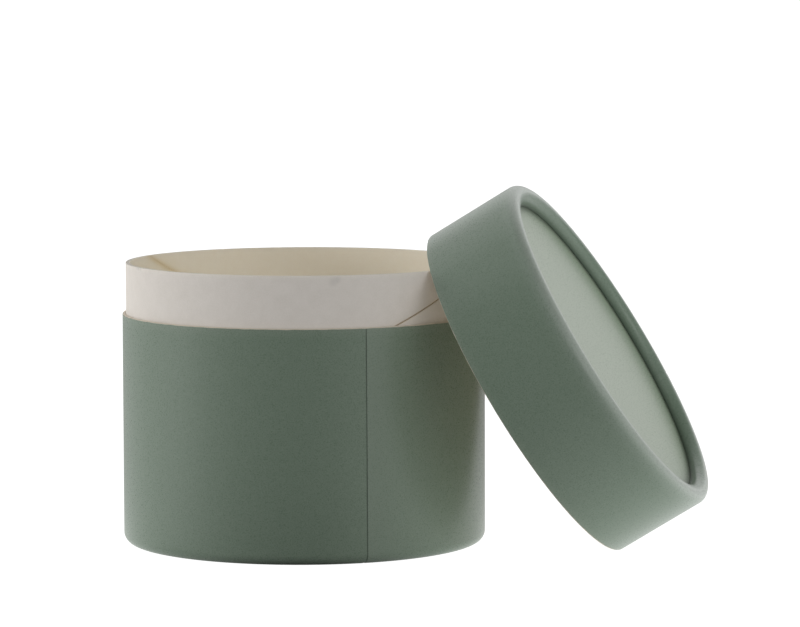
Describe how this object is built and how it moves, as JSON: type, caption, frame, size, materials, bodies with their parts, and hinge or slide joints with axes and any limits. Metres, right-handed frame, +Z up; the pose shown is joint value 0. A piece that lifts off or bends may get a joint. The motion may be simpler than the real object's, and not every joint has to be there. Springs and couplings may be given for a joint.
{
  "type": "cylindrical gift tube box",
  "caption": "Round paper-wrapped tube box with a white neck and a matching lift-off lid, shown open with the lid leaning on its rim.",
  "frame": {"origin": "the centre of the ring that the base's rolled foot stands on, on the floor", "axes": "+Z up along the base's axis, -Y the front that the picture faces, +X the side that the lid leans on"},
  "size_m": [0.1614, 0.116, 0.0988],
  "materials": {
    "sage_wrap": "matte",
    "tube_board": "matte",
    "tube_lining": "matte",
    "end_paper": "matte",
    "disc_board": "matte",
    "lining_paper": "matte",
    "white_ply": "matte",
    "neck_board": "matte",
    "cream_ply": "matte"
  },
  "bodies": {
    "box": {"base_wrap": "sage_wrap", "base_tube": "tube_board", "base_tube_lining": "tube_lining", "base_disc_facing": "end_paper", "base_disc": "disc_board", "base_disc_lining": "lining_paper", "neck_outer_ply": "white_ply", "neck_tube": "neck_board", "neck_inner_ply": "cream_ply"},
    "lid": {"lid_wrap": "sage_wrap", "lid_tube": "tube_board", "lid_tube_lining": "tube_lining", "lid_disc_facing": "end_paper", "lid_disc": "disc_board", "lid_disc_lining": "lining_paper"}
  },
  "joints": [
    {"name": "lid_swing", "type": "hinge", "parent": "box", "child": "lid", "pos_m": [-0.00182, 0.00036, 0.00475], "axis": [-0.1959, -0.9806, 0], "range_deg": [0, 58.25]}
  ]
}
